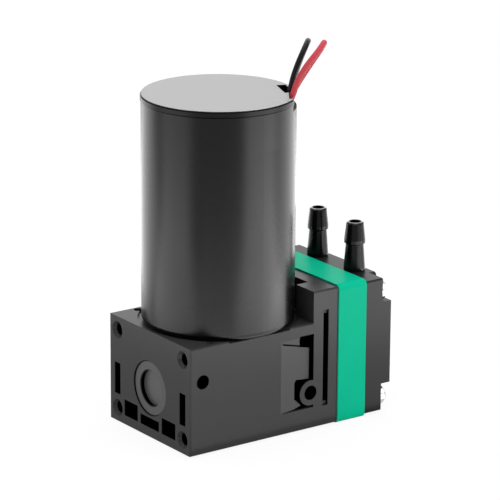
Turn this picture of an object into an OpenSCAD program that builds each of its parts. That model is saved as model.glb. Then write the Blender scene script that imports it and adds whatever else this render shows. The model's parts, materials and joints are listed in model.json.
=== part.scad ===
// Micro diaphragm pump. A brushless motor stands upright on a moulded crankcase.
// Its shaft turns an eccentric, and a ball bearing and a connecting rod push a diaphragm
// to and fro in the head, where two valves pass the air on to the two hose barbs.
// Millimetres, +Z up, front face towards -Y, head towards +Y.
// The origin is under the middle of the pump, on the surface that it stands on.

/* [Crankcase] */
// Width of the crankcase, its flange and the pump head
case_w = 30.4; // [29.5:0.1:33]
// Height of the deck above the underside of the crankcase
case_h = 23.5; // [23:0.1:26]
// Length from the front face to the chamber plate
case_len = 38; // [37.6:0.1:40]
// Height of the flange that carries the head
flange_h = 30.4; // [29.6:0.1:32]
// Thickness of the flange at its two ears
ear_t = 6.5; // [6.2:0.1:7]
// Thickness of the flange between the ears
web_t = 3.4; // [2.6:0.1:3.8]
// Width of the set-back stretch between the ears
ear_gap = 18; // [14:0.1:18.6]
// Thickness of the crankcase floor
floor_t = 2.3; // [1.6:0.1:3]
// Thickness of the deck under the motor
deck_t = 2.4; // [2:0.1:2.6]
// Depth of the round seat that the motor stands in
seat_depth = 0.5; // [0.3:0.1:0.7]
// Radius of the crank chamber
chamber_r = 11; // [10.6:0.1:11.8]
// Radius on the moulded outer edges
edge_r = 0.4; // [0.2:0.05:0.8]

/* [Front face] */
// Distance of the corner holes from the edges
corner_inset = 3; // [2.6:0.1:3.4]
// Radius of the corner holes
corner_hole_r = 1.2; // [0.9:0.05:1.4]
// Radius of the countersink of a corner hole
countersink_r = 1.9; // [1.6:0.05:2.1]
// Depth of the countersink of a corner hole
countersink_depth = 0.9; // [0.5:0.1:1.4]
// Depth of the corner holes
corner_hole_depth = 9; // [6:0.5:10]
// Radius of the plug that closes the crank chamber
plug_r = 5.9; // [5.7:0.05:6.5]
// Height of the plug axis above the underside
plug_h = 10.8; // [10.4:0.1:12]
// Thickness of the plug's visible disc
plug_t = 1.4; // [1:0.1:1.8]
// How far the plug lies back from the front face
plug_sink = 0.3; // [0.1:0.05:0.5]
// Radius of the dish in the plug
dish_r = 3.9; // [3.5:0.1:4.6]
// Depth of the dish in the plug
dish_depth = 1; // [0.4:0.1:1.1]
// Width of the two upright slots
slot_w = 2.2; // [1.4:0.1:2.4]
// Height of the two upright slots
slot_h = 7; // [5:0.1:7.2]
// Depth of the slots and pockets in the front face
core_depth = 4.8; // [3:0.1:5]
// Width of the middle pocket
mid_pocket_w = 7; // [5:0.1:7.6]
// Height of the middle pocket
mid_pocket_h = 2.25; // [1.2:0.05:2.4]
// Height of the two outer pockets
end_pocket_h = 3.6; // [2:0.1:3.8]

/* [Sides] */
// Radius of the blind hole near the front
side_hole_r = 1.55; // [1.2:0.05:1.6]
// Depth of the blind holes in the sides
side_hole_depth = 8; // [5:0.5:8.5]
// Radius of the hole in the ring boss
boss_hole_r = 1.6; // [1.2:0.05:1.7]
// Outer radius of the ring boss
boss_r = 2.8; // [2.5:0.05:3]
// Depth of the pocket round the ring boss
pocket_depth = 3; // [2:0.1:3.6]
// Depth of the ramp at its deep end
ramp_depth = 0.9; // [0.4:0.1:1.4]
// Height of the slit that shows the nut strip
slit_h = 21.4; // [18:0.1:22]

/* [Motor] */
// Radius of the motor can
can_r = 16.25; // [15.8:0.05:16.4]
// Length of the motor can
can_len = 48; // [47:0.5:55]
// Wall of the motor can
can_wall = 0.8; // [0.6:0.1:1]
// Radius round the bottom edge of the can
can_edge_r = 1.4; // [0.5:0.1:1.6]
// Distance from the motor shaft to the chamber plate
shaft_back = 20.5; // [20.4:0.1:21.5]
// Radius of the motor shaft
shaft_r = 2; // [1.9:0.05:2.05]
// Distance of the motor screws from the shaft
motor_screw_x = 8.4; // [8.2:0.1:8.5]
// How far the end cap stands out round the can
cap_lip = 0.15; // [0.1:0.05:0.5]
// Height of the end cap
cap_t = 1.4; // [1.2:0.1:2]
// Thickness of the bright disc on the end cap
cap_disc_t = 0.35; // [0.2:0.05:0.5]
// Number of stator teeth and coils
teeth = 6; // [4:1:6]
// Room for the deck end and its winding heads, from the seat to the stator stack
stack_below = 14; // [13.6:0.1:15]
// Room for the rear winding heads, bearing and board, from the stack to the can's end
stack_above = 14; // [13.8:0.1:15]

/* [Pump head] */
// Thickness of the green chamber plate
plate_t = 7.3; // [7:0.1:9]
// How far the chamber plate stands proud of the black parts
plate_proud = 0.3; // [0.1:0.05:0.6]
// Corner radius of the chamber plate
plate_corner_r = 1.2; // [0.6:0.1:1.6]
// Height of the pump head
head_h = 29.9; // [29:0.1:30.4]
// Thickness of the pump head at its corners
head_t = 4.6; // [4.2:0.1:6]
// Extra thickness of the raised middle of the head
raised_t = 2.3; // [2.2:0.1:3]
// Width of the four screw notches
notch_w = 5.3; // [5.1:0.1:5.6]
// Height of the two lower screw notches
low_notch_h = 6.1; // [5.9:0.1:6.5]
// Height of the two upper screw notches
high_notch_h = 5.3; // [5.2:0.1:6.5]
// Sideways distance of the head screws from the edge of the flange
screw_side = 2.3; // [2.25:0.05:2.5]
// Upright distance of the head screws from the edge of the flange
screw_rise = 3.3; // [3.2:0.05:3.5]

/* [Hose barbs] */
// Sideways distance of the barbs from the middle
barb_x = 6.6; // [6.2:0.1:7]
// Length of a barb above the head
barb_len = 10.8; // [9:0.1:14]
// Radius of the barb at its collar
barb_collar_r = 2.3; // [2.2:0.05:2.4]
// Radius of the barb at its tip
barb_tip_r = 1.9; // [1.75:0.05:2]
// Radius of the barb behind the collar
barb_neck_r = 1.95; // [1.8:0.05:2.1]
// Radius of the barb where it meets the head
barb_root_r = 2.35; // [2.3:0.05:2.4]
// Radius of the air passage in the barb
barb_bore_r = 1.3; // [1:0.05:1.4]

/* [Crank and diaphragm] */
// Throw of the eccentric, half of the stroke
throw = 1.4; // [1:0.1:1.4]
// Radius of the crank pin
pin_r = 2.5; // [2.4:0.05:2.6]
// Thickness of the diaphragm
diaphragm_t = 1; // [0.8:0.1:1.1]
// Radius of the diaphragm
diaphragm_r = 13.3; // [12.6:0.1:13.6]
// Radius of the pump chamber
pump_r = 10.5; // [10:0.1:10.8]
// Depth of the pump chamber
pump_depth = 2.7; // [2.6:0.1:2.9]
// Distance of the valves from the middle
valve_x = 4.8; // [4.7:0.1:5.2]
// Radius of a valve disc
valve_r = 3.2; // [2.8:0.1:3.3]
// How far a valve lifts
valve_lift = 0.5; // [0.3:0.05:0.5]

/* [Leads] */
// Diameter of a lead
lead_d = 1.25; // [1:0.05:1.3]

/* [Hidden] */

$fn = 64;

// Clearances that the fits share
turn_gap = 0.02;
slip_gap = 0.1;
open_gap = 0.4;
cut = 1;

// Places in the case frame: X from the middle, Y from the front face, Z from the underside
total_len = case_len + plate_t + head_t + raised_t;
front_y = -total_len / 2;
plate_w = case_w + 2 * plate_proud;
plate_h = flange_h + 2 * plate_proud;
base_z = plate_proud;
half_w = case_w / 2;
head_mid = flange_h / 2;
motor_y = case_len - shaft_back;
screw_x = half_w - screw_side;
screw_z = flange_h / 2 - screw_rise;
plate_end = case_len + plate_t;
rim_end = plate_end + head_t;
back_y = rim_end + raised_t;
seat_z = case_h - seat_depth;
deck_under = seat_z - deck_t;
can_top = seat_z + can_len;
cap_top = can_top + cap_t;
cap_r = can_r + cap_lip;
can_bore_r = can_r - can_wall;

// Seat of the motor
seat_gap = 0.8;
seat_r = can_r + seat_gap;
seat_notch_r = 1;
seat_notch_turn = 40;
seat_notch_depth = 1.4;
pilot_r = 5.5;
pilot_h = 1.3;
bell_t = 1.8;
bell_hub_h = 4.5;
shaft_hole_r = shaft_r + 0.6;
motor_thread_r = 1.25;
motor_head_r = 2.2;
motor_head_h = 1.7;
motor_head_sink = 1;

// Bearings: bore radius, outer radius, width, ball radius, ring thickness, number of balls
small_bearing = [shaft_r, 4.5, 4, 0.65, 0.85, 7];
crank_bearing = [pin_r, pin_r + 4, 4, 1, 1.15, 8];
bearing_sink = 0.6;
rear_bearing_drop = 11;
front_bearing_z = seat_z - bearing_sink;
rear_bearing_z = can_top - rear_bearing_drop;

// Crank, stacked along the shaft
crank_y = motor_y - throw;
bearing_low = head_mid - crank_bearing[2] / 2;
bearing_high = head_mid + crank_bearing[2] / 2;
step_h = 0.3;
hub_low = bearing_high + step_h;
hub_r = 4.8;
hub_top = seat_z - pilot_h - open_gap;
weight_r = 9;
weight_t = 1.6;
pin_low = bearing_low + 0.05;
shaft_low = hub_low + 0.4;
flat_depth = 0.3;
set_screw_r = 0.95;
set_socket = 1;
set_screw_z = (hub_low + weight_t + hub_top) / 2;
pin_screw_r = 0.95;
pin_screw_len = 4;
pin_washer_r = 3.3;
pin_washer_t = 0.3;

// Rod and diaphragm stack, drawn at the end of the suction stroke
diaphragm_y = case_len - diaphragm_t;
support_t = 0.8;
support_r = 6.2;
clamp_t = 0.9;
clamp_r = 5.5;
rod_end = diaphragm_y - throw - support_t;
rod_hub_r = 3.6;
rod_hub_len = 2.4;
rod_ring_r = crank_bearing[1] + 1.7;
rod_bar_w = 6;
rod_pocket = 1;
clamp_screw_r = 1.25;
clamp_head_r = 2.4;
clamp_screw_len = 5.2;
bowl_depth = 2.7;
bowl_r = pump_r + 0.5;
tunnel_r = 6.2;
neck_r = 8;

// Valves and ports
valve_t = 0.5;
valve_stem_r = 0.7;
valve_knob_r = 1.2;
valve_knob_t = 0.6;
valve_cell_r = valve_r + 0.5;
web_front = case_len + pump_depth + valve_t + valve_lift + 0.2;
valve_web_t = 1.8;
web_back = web_front + valve_web_t;
port_r = 0.5;
port_ring_r = 2;
ports = 6;

// Air pockets in the head
pocket_in = 1.3;
pocket_out = 9.3;
pocket_low = head_mid - 4.2;
pocket_high = head_mid + 9.5;
air_depth = 5;
seal_gap = 0.25;
seal_w = 0.6;
seal_t = 0.6;
barb_y = plate_end + (head_t + raised_t) / 2;
collar_land = 0.7;
collar_h = 0.6 * barb_len;
barb_neck_h = collar_h - 0.7;
head_bottom = head_mid - head_h / 2;
head_top = head_mid + head_h / 2;
raised_inset = 0.4;

// Nut strips and head screws
strip_back = 2.5;
strip_t = 1.4;
strip_in = screw_x - 2.7;
strip_mid = screw_x - 0.4;
strip_out = screw_x + 1.8;
strip_half = screw_z + 1.8;
strip_tab = screw_z - 2.1;
screw_r = 1.25;
screw_hole_r = 1.4;
screw_head_r = 2.35;
screw_rim_h = 0.95;
screw_dome_h = 1.45;
screw_cross_w = 0.55;
screw_cross_r = 1.3;
screw_cross_depth = 1.2;
strip_y = case_len - strip_back - strip_t;

// Places on the sides, measured from the front face and the underside
side_hole_y = 3.1;
side_hole_z = 15.9;
ramp_y = 23.1;
ramp_end_y = 31.65;
ramp_low = 4.7;
ramp_high = 20.4;
ramp_high_end = 18;
shelf_y = 28.05;
shelf_depth = 0.3;
window_high = 21.1;
groove_w = 0.3;
groove_y = ramp_y + 0.4;
channel_w = 0.65;
boss_y = 30.9;
boss_z = 8.05;
boss_pocket_y = 26.9;
boss_pocket_z = 11.2;

// Slots and pockets of the front face
slot_low = 6.15;
pocket_floor = 2;
end_pocket_in = 4.5;
end_pocket_out = 9.6;
corner_boss_r = 2.6;

// Motor insides: the stack lies between the two ends of the can
stack_z = seat_z + stack_below;
stack_len = can_len - stack_below - stack_above;
yoke_t = 2.6;
yoke_r = can_bore_r - yoke_t;
tooth_w = 4.2;
shoe_r = yoke_r - 3.3;
shoe_w = 7.2;
stator_bore_r = shoe_r - 1.1;
coil_r = yoke_r - 0.8;
coil_w = 7.6;
coil_h = stack_len + 5;
magnet_r = stator_bore_r - 0.4;
rotor_core_r = magnet_r - 2.6;
bracket_z = rear_bearing_z + 1;
bracket_t = 1.6;
post_r = 1.3;
post_at_r = can_bore_r - 3.7;
board_z = bracket_z + bracket_t + 3.5;
board_r = can_bore_r - 0.6;
board_t = 1;
spigot_h = 1.2;
spigot_wall = 1.1;
chip_at_r = 7.2;
chip_size = [3, 4, 1];
capacitor_at = [-6, -8, 0];
capacitor_r = 2.6;
capacitor_h = 2;
vent_r = 2.6;
vent_at_r = 9.5;
plug_skirt = 0.6;
plug_wall = 1.2;
plug_lead = 0.1;
plug_back = plug_sink + plug_t;
plug_ring_len = 3;

// Openings of the end cap for the leads
wire_turn = 54;
wire_notch_w = 9.6;
wire_notch_in = can_r - 1.65;
rim_notch_h = 1.3;
slot_turn = 69;
slot_len = 6.8;
slot_in = can_r - 2.95;
slot_out = can_r - 0.95;

// Routes of the leads in the part's own frame, and the points swept between two of them
lead_steps = 2;
lead_sides = 8;
bare_len = 4;
bare_r = 0.35;
black_route = [
    [5.2, 4.2, 67.5], [5.25, 4.3, 68.5], [5.5, 4.8, 70.2], [5.8, 5.6, 72.5], [5.6, 6.5, 75],
    [5.5, 7.8, 77.8], [4.6, 10.2, 80.7], [2, 12.9, 81.3], [-0.5, 14, 79.2],
    [-1.6, 13.3, 75.8], [-2.4, 12.3, 71.8], [-4, 11.8, 67], [-6.5, 11.5, 62],
    [-10, 10.5, 56.5], [-13.5, 8.5, 50.5], [-16.5, 6.5, 44], [-19, 5, 37],
    [-20, 4.5, 30], [-20.5, 4.5, 23], [-20.5, 4.5, 16], [-20.5, 4, 10],
    [-20.5, 1, 4.5], [-20.5, -4, 1.2], [-20.8, -9, 0.8], [-22.1, -12.1, 0.8],
    [-25.2, -13.4, 0.8], [-28.3, -12.1, 0.8], [-29.6, -9, 0.8], [-29.5, -4, 0.8],
    [-29, 1.5, 0.8], [-28, 7, 0.8]];
red_route = [
    [8, 2.5, 67.5], [8.05, 2.6, 68.5], [8.5, 3.2, 70.2], [9, 4, 72.5], [9, 5.1, 75],
    [9.4, 7, 78], [9.2, 10.2, 80.8], [6.7, 13.6, 81.7], [3.6, 14.9, 79.3],
    [1.8, 13.7, 76], [0.4, 11.9, 72.3], [-1.5, 10.5, 68], [-4, 9.5, 62.5],
    [-7.5, 8.5, 56.5], [-11, 6.5, 50.5], [-14.5, 4, 44], [-17, 2.5, 37],
    [-18, 2, 30], [-18.5, 2, 23], [-18.5, 2, 16], [-18.5, 1.5, 10],
    [-18.5, -1.5, 4.5], [-18.5, -6, 1.2], [-18.6, -10.5, 0.8], [-20.5, -14.8, 0.8],
    [-25.2, -16.6, 0.8], [-29.9, -14.8, 0.8], [-31.8, -10, 0.8], [-31.8, -3, 0.8]];

function reversed(list) = [for (i = [len(list) - 1:-1:0]) list[i]];
function unit(v) = v / norm(v);

// A point on the smooth curve through four points in a row, t from 0 to 1 between the middle two
function curve_point(a, b, c, d, t) =
    0.5 * (2 * b + (c - a) * t + (2 * a - 5 * b + 4 * c - d) * t * t
        + (3 * b - a - 3 * c + d) * t * t * t);

// The whole smooth curve of a route
function curve(route) = concat(
    [for (i = [0:len(route) - 2], s = [0:lead_steps - 1])
        curve_point(
            route[max(i - 1, 0)], route[i], route[i + 1],
            route[min(i + 2, len(route) - 1)], s / lead_steps)],
    [route[len(route) - 1]]);

// The direction of a line of points at one of them
function heading(line, i) = unit(line[min(i + 1, len(line) - 1)] - line[max(i - 1, 0)]);

// One ring of a tube, square to the line, with its first corner carried on from ring to ring
function ring_of(centre, ahead, side, r) =
    let (up = unit(cross(ahead, side)), across = unit(cross(up, ahead)))
    [for (k = [0:lead_sides - 1])
        centre + r * (cos(360 * k / lead_sides) * across
            + sin(360 * k / lead_sides) * up)];
function carried(line, i, side) =
    let (ahead = heading(line, i)) unit(side - (side * ahead) * ahead);
function sides_along(line, i = 0, side = [1, 0.2, 0.1]) =
    i == len(line) ? [] :
    let (next = carried(line, i, side)) concat([next], sides_along(line, i + 1, next));

module in_case() translate([0, front_y, base_z]) children();
module on_shaft() in_case() translate([0, motor_y, 0]) children();
module on_pin() in_case() translate([0, crank_y, 0]) children();

// An outline in X and Z, extruded along Y
module face_prism(y0, y1)
    translate([0, y1, 0]) rotate([90, 0, 0]) linear_extrude(y1 - y0) children();

// An outline in Y and Z, extruded along X
module side_prism(x0, x1)
    translate([x0, 0, 0]) rotate([90, 0, 90]) linear_extrude(x1 - x0) children();

// A cylinder along Y whose axis lies at the given height
module bar_y(r, y0, y1, z, x = 0)
    translate([x, y0, z]) rotate([-90, 0, 0]) cylinder(r = r, h = y1 - y0);

module cone_y(r0, r1, y0, y1, z, x = 0)
    translate([x, y0, z]) rotate([-90, 0, 0]) cylinder(r1 = r0, r2 = r1, h = y1 - y0);

// A bar along X that reaches out of the side at +X
module bar_x(r, x0, x1, y, z)
    translate([x0, y, z]) rotate([0, 90, 0]) cylinder(r = r, h = x1 - x0);

module round_rect(w, h, r) {
    square([w - 2 * r, h], center = true);
    square([w, h - 2 * r], center = true);
    for (sx = [-1, 1], sy = [-1, 1])
        translate([sx * (w / 2 - r), sy * (h / 2 - r)]) circle(r = r);
}

module ring(r_in, r_out, h) difference() {
    cylinder(r = r_out, h = h);
    translate([0, 0, -cut]) cylinder(r = r_in, h = h + 2 * cut);
}

module both_sides() {
    children();
    mirror([1, 0, 0]) children();
}

module at_head_screws(x = screw_x, z = screw_z)
    for (sx = [-1, 1], sz = [-1, 1])
        translate([sx * x, 0, head_mid + sz * z]) children();

// Plan of the crankcase, with rounded front corners
module case_plan() {
    translate([-half_w, edge_r]) square([case_w, case_len - edge_r]);
    translate([edge_r - half_w, 0]) square([case_w - 2 * edge_r, 2 * edge_r]);
    for (sx = [-1, 1]) translate([sx * (half_w - edge_r), edge_r]) circle(r = edge_r);
}

module case_block(h, y0) intersection() {
    linear_extrude(h) case_plan();
    face_prism(y0, case_len) translate([0, h / 2]) round_rect(case_w, h, edge_r);
}

module front_cuts() {
    for (sx = [-1, 1], z = [corner_inset, case_h - corner_inset]) {
        bar_y(corner_hole_r, -cut, corner_hole_depth, z, sx * (half_w - corner_inset));
        cone_y(countersink_r, corner_hole_r, 0, countersink_depth, z,
            sx * (half_w - corner_inset));
        bar_y(countersink_r, -cut, 0, z, sx * (half_w - corner_inset));
    }
    face_prism(-cut, core_depth) {
        for (sx = [-1, 1]) translate([sx * (half_w - corner_inset), slot_low + slot_h / 2])
            square([slot_w, slot_h], center = true);
        translate([-mid_pocket_w / 2, pocket_floor]) square([mid_pocket_w, mid_pocket_h]);
        for (sx = [-1, 1]) scale([sx, 1]) difference() {
            translate([end_pocket_in, pocket_floor])
                square([end_pocket_out - end_pocket_in, end_pocket_h]);
            translate([half_w - corner_inset, corner_inset]) circle(r = corner_boss_r);
        }
    }
    bar_y(plug_r + slip_gap, -cut, plug_back, plug_h);
    cone_y(plug_r + slip_gap + 2 * plug_lead, plug_r + slip_gap, -plug_lead, plug_lead,
        plug_h);
    bar_y(plug_r - plug_skirt, 0, motor_y, plug_h);
}

// Height of the upper edge of the ramp, which falls towards the flange
function ramp_top(y) =
    ramp_high + (ramp_high_end - ramp_high) * (y - ramp_y) / (ramp_end_y - ramp_y);

// Outline of the deep hollows beside the ramp: the window, the channel and the boss pocket
module side_hollows() {
    polygon([[shelf_y, ramp_top(shelf_y) - groove_w], [ramp_end_y, ramp_high_end - groove_w],
        [ramp_end_y, window_high], [shelf_y, window_high]]);
    translate([ramp_end_y - channel_w, boss_z]) square([channel_w, ramp_high_end - boss_z]);
    polygon([[boss_pocket_y + 0.4, boss_pocket_z + 0.3], [boss_pocket_y, boss_pocket_z - 0.4],
        [boss_pocket_y, boss_z - 0.85], [boss_y - 2.1, ramp_low + 0.8],
        [boss_pocket_y - 0.3, ramp_low + 0.25], [boss_pocket_y - 0.3, ramp_low],
        [ramp_end_y, ramp_low], [ramp_end_y, boss_pocket_z - 0.3]]);
}

// Cuts in the side at +X: two blind holes, the ramp with its shelf, grooves and hollows
module side_cuts() {
    bar_x(side_hole_r, half_w - side_hole_depth, half_w + cut, side_hole_y, side_hole_z);
    bar_x(boss_hole_r, half_w - side_hole_depth, half_w + cut, boss_y, boss_z);
    difference() {
        union() {
            intersection() {
                linear_extrude(case_h) polygon([[half_w, ramp_y], [half_w + cut, ramp_y],
                    [half_w + cut, ramp_end_y], [half_w - ramp_depth, ramp_end_y]]);
                side_prism(half_w - 2 * ramp_depth, half_w + cut)
                    polygon([[ramp_y, ramp_low], [ramp_end_y, ramp_low],
                        [ramp_end_y, ramp_high_end], [ramp_y, ramp_high]]);
            }
            side_prism(half_w - pocket_depth, half_w + cut) side_hollows();
            side_prism(half_w - ramp_depth - groove_w, half_w + cut) {
                polygon([[groove_y, ramp_top(groove_y) - groove_w],
                    [ramp_end_y, ramp_high_end - groove_w],
                    [ramp_end_y, ramp_high_end + groove_w / 2],
                    [groove_y, ramp_top(groove_y) + groove_w / 4]]);
                polygon([[groove_y, ramp_low], [boss_pocket_y, ramp_low],
                    [boss_pocket_y, ramp_low + groove_w], [groove_y, ramp_low + groove_w / 3]]);
            }
        }
        bar_x(boss_r, 0, half_w + 2 * cut, boss_y, boss_z);
    }
    intersection() {
        linear_extrude(case_h) polygon([[half_w, ramp_y], [half_w + cut, ramp_y],
            [half_w + cut, shelf_y + cut / 2], [half_w - shelf_depth, shelf_y + cut / 2]]);
        side_prism(half_w - 2 * shelf_depth, half_w + cut)
            polygon([[ramp_y, ramp_high - groove_w],
                [shelf_y + cut / 2, ramp_top(shelf_y + cut / 2) - groove_w],
                [shelf_y + cut / 2, window_high - groove_w], [ramp_y, window_high - groove_w]]);
    }
    side_prism(strip_mid - cut, half_w + cut)
        translate([strip_y, head_mid - slit_h / 2]) square([strip_t, slit_h]);
}

module crankcase() color("#232427") in_case() difference() {
    union() {
        case_block(case_h, 0);
        case_block(flange_h, case_len - ear_t);
    }
    // The flange is set back between its ears, clear of the motor
    translate([-ear_gap / 2, case_len - ear_t - cut, case_h])
        cube([ear_gap, ear_t - web_t + cut, flange_h]);
    // Seat of the motor, its pilot hole and the crank chamber
    translate([0, motor_y, seat_z]) cylinder(r = seat_r, h = seat_depth + cut);
    for (turn = [-seat_notch_turn, 180 + seat_notch_turn])
        translate([0, motor_y, case_h - seat_notch_depth]) rotate(turn)
            translate([seat_r + seat_notch_r / 2, 0, 0])
            cylinder(r = seat_notch_r, h = seat_notch_depth + cut);
    translate([0, motor_y, deck_under - cut])
        cylinder(r = pilot_r + slip_gap, h = deck_t + 2 * cut);
    translate([0, motor_y, floor_t]) cylinder(r = chamber_r, h = deck_under - floor_t);
    for (sx = [-1, 1]) translate([sx * motor_screw_x, motor_y, deck_under - cut]) {
        cylinder(r = motor_thread_r + slip_gap, h = deck_t + 2 * cut);
        cylinder(r = motor_head_r + slip_gap, h = motor_head_sink + cut);
    }
    front_cuts();
    both_sides() side_cuts();
    // Tunnel of the rod, bowl behind the diaphragm and the diaphragm's seat
    bar_y(tunnel_r, motor_y, case_len, head_mid);
    cone_y(neck_r, bowl_r, diaphragm_y - bowl_depth, diaphragm_y, head_mid);
    bar_y(diaphragm_r + slip_gap, diaphragm_y, case_len + cut, head_mid);
    // Nut strips and the head screws that reach them
    both_sides() strip_blank();
    at_head_screws() bar_y(screw_hole_r, strip_y - cut, case_len + cut, 0);
}

// The nut strip is narrow in the middle and has a wide tab at each screw
module strip_blank() face_prism(strip_y, strip_y + strip_t) translate([0, head_mid]) {
    translate([strip_in, -strip_half]) square([strip_mid - strip_in, 2 * strip_half]);
    for (z = [-strip_half, strip_tab]) translate([strip_in, z])
        square([strip_out - strip_in, strip_half - strip_tab]);
}

module nut_strips() color("#b9bcc0") in_case() difference() {
    both_sides() strip_blank();
    at_head_screws() bar_y(screw_r + turn_gap, strip_y - cut, strip_y + strip_t + cut, 0);
}

module front_plug() color("#2a2b2e") in_case() difference() {
    union() {
        bar_y(plug_r, plug_sink, plug_back, plug_h);
        bar_y(plug_r - plug_skirt - turn_gap, plug_back, plug_back + plug_ring_len, plug_h);
    }
    cone_y(dish_r + 0.15, dish_r, plug_sink - turn_gap, plug_sink + dish_depth, plug_h);
    bar_y(plug_r - plug_skirt - plug_wall, plug_back + plug_skirt,
        plug_back + plug_ring_len + cut, plug_h);
}

module chamber_plate() color("#1fc39a") in_case() difference() {
    face_prism(case_len, plate_end)
        translate([0, head_mid]) round_rect(plate_w, plate_h, plate_corner_r);
    cone_y(pump_r, pump_r - 0.7, case_len, case_len + pump_depth, head_mid);
    bar_y(pump_r, case_len - cut, case_len, head_mid);
    for (sx = [-1, 1]) {
        bar_y(valve_cell_r, case_len, web_front, head_mid, sx * valve_x);
        bar_y(valve_cell_r, web_back, plate_end + cut, head_mid, sx * valve_x);
        bar_y(valve_stem_r + slip_gap, web_front - cut, web_back + cut, head_mid,
            sx * valve_x);
        for (k = [0:ports - 1]) bar_y(port_r, web_front - cut, web_back + cut,
            head_mid + port_ring_r * sin(360 * k / ports),
            sx * valve_x + port_ring_r * cos(360 * k / ports));
    }
    at_head_screws() bar_y(screw_hole_r, case_len - cut, plate_end + cut, 0);
}

// A disc valve along +Y from its seat: disc, stem through the web, and a retaining knob
module valve() {
    knob_y = -valve_web_t - valve_lift - 2 * turn_gap;
    bar_y(valve_r, 0, valve_t, 0);
    bar_y(valve_stem_r, knob_y - valve_knob_t, valve_t / 2, 0);
    bar_y(valve_knob_r, knob_y - valve_knob_t, knob_y, 0);
}

module inlet_valve() color("#3a3a3c") in_case()
    translate([-valve_x, web_front - turn_gap, head_mid]) mirror([0, 1, 0]) valve();

module outlet_valve() color("#3a3a3c") in_case()
    translate([valve_x, web_back + turn_gap, head_mid]) valve();

// Outline of the head's raised middle: full width between the notches, narrow beyond them
module raised_outline() {
    low = head_bottom + low_notch_h;
    high = head_top - high_notch_h;
    translate([0, (low + high) / 2]) square([case_w, high - low], center = true);
    translate([0, head_mid]) round_rect(case_w - 2 * notch_w,
        head_h - 2 * raised_inset, 2 * edge_r);
}

module air_pocket(grow = 0)
    translate([(pocket_in + pocket_out) / 2, (pocket_low + pocket_high) / 2])
        round_rect(pocket_out - pocket_in + 2 * grow,
            pocket_high - pocket_low + 2 * grow, 1 + grow);

module seal_outline() difference() {
    air_pocket(seal_gap + seal_w);
    air_pocket(seal_gap);
}

// A hose barb as a lathe outline, its foot at zero
module barb_outline() {
    nose = 0.35;
    polygon([[0, -cut], [barb_root_r, -cut], [barb_root_r, 0.6],
        [barb_neck_r, barb_neck_h], [barb_neck_r, barb_neck_h + 0.1],
        [barb_collar_r, collar_h - 0.3], [barb_collar_r, collar_h - 0.3 + collar_land],
        [barb_tip_r, barb_len - nose], [barb_tip_r - nose, barb_len], [0, barb_len]]);
}

module pump_head() color("#1d1e20") in_case() difference() {
    union() {
        intersection() {
            face_prism(plate_end, rim_end) translate([0, head_mid])
                round_rect(case_w, head_h, edge_r);
            linear_extrude(flange_h) translate([-half_w, plate_end])
                square([case_w, head_t]);
        }
        face_prism(plate_end, back_y) raised_outline();
        for (sx = [-1, 1]) translate([sx * barb_x, barb_y, head_top])
            rotate_extrude() barb_outline();
    }
    both_sides() face_prism(plate_end - cut, plate_end + air_depth) air_pocket();
    both_sides() face_prism(plate_end - cut, plate_end + seal_t) seal_outline();
    for (sx = [-1, 1]) translate([sx * barb_x, barb_y, pocket_high - cut])
        cylinder(r = barb_bore_r, h = head_top + barb_len - pocket_high + 2 * cut);
    at_head_screws() bar_y(screw_hole_r, plate_end - cut, rim_end + cut, 0);
}

module head_seals() color("#4a4b4e") in_case() both_sides()
    face_prism(plate_end, plate_end + seal_t) seal_outline();

// Domed cross-recess screws from the back of the head into the nut strips
module head_screws() color("#d8dadd") in_case() at_head_screws() difference() {
    dome_r = (screw_head_r * screw_head_r + screw_dome_h * screw_dome_h)
        / (2 * screw_dome_h);
    union() {
        bar_y(screw_r, strip_y, rim_end + screw_rim_h, 0);
        bar_y(screw_head_r, rim_end, rim_end + screw_rim_h, 0);
        intersection() {
            translate([0, rim_end + screw_rim_h + screw_dome_h - dome_r, 0])
                sphere(r = dome_r);
            bar_y(screw_head_r, rim_end + screw_rim_h, rim_end + 3, 0);
        }
    }
    for (turn = [0, 90]) rotate([0, turn, 0])
        translate([-screw_cross_r, rim_end + screw_rim_h + screw_dome_h - screw_cross_depth,
            -screw_cross_w / 2])
            cube([2 * screw_cross_r, screw_cross_depth + cut, screw_cross_w]);
}

// The diaphragm, drawn in at its middle by the rod at the end of the suction stroke
module diaphragm() color("#39393b") in_case() translate([0, diaphragm_y, head_mid])
    rotate([-90, 0, 0]) rotate_extrude() polygon([
        [clamp_screw_r + slip_gap, -throw], [support_r + 0.2, -throw], [pump_r + 0.2, 0],
        [diaphragm_r, 0], [diaphragm_r, diaphragm_t], [pump_r - 0.1, diaphragm_t],
        [support_r, diaphragm_t - throw], [clamp_screw_r + slip_gap, diaphragm_t - throw]]);

// Half of the lathe outline of the can, closed at the bottom with a rounded edge
module can_outline() {
    translate([0, can_edge_r]) square([can_r, can_len - can_edge_r]);
    square([can_r - can_edge_r, 2 * can_edge_r]);
    translate([can_r - can_edge_r, can_edge_r]) circle(r = can_edge_r);
}

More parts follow.
